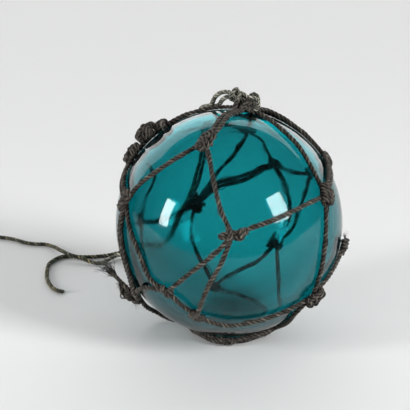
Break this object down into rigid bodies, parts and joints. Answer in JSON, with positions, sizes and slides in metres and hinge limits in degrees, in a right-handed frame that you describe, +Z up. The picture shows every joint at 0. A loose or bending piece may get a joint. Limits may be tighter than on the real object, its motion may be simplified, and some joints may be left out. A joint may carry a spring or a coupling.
{
  "type": "glass float ball",
  "caption": "Blown teal glass fishing float ball in a knotted dark twine net, with a lashing on its crown and loose tails of twine.",
  "frame": {"origin": "centre of the small flat spot that the ball rests on, on the floor plane", "axes": "+Z up through the ball towards its crown, -Y towards the front with the three-way middle knot, +X to the right as the front is seen"},
  "size_m": [0.2583, 0.2393, 0.1388],
  "materials": {
    "teal_glass": "clear deep teal blown glass, smooth and glossy, with seed bubbles",
    "tarred_twine": "dark brown-grey tarred three-strand twine, dry and hairy",
    "lashing_twine": "weathered grey-green three-strand twine, mottled and dry"
  },
  "bodies": {
    "root": {"glass_ball": "teal_glass", "net": "tarred_twine", "net_slack_cord": "tarred_twine", "crown_lashing": "lashing_twine", "short_tail": "lashing_twine", "long_tail": "lashing_twine", "tail_coil": "lashing_twine", "tail_end_knot": "lashing_twine"}
  },
  "joints": []
}
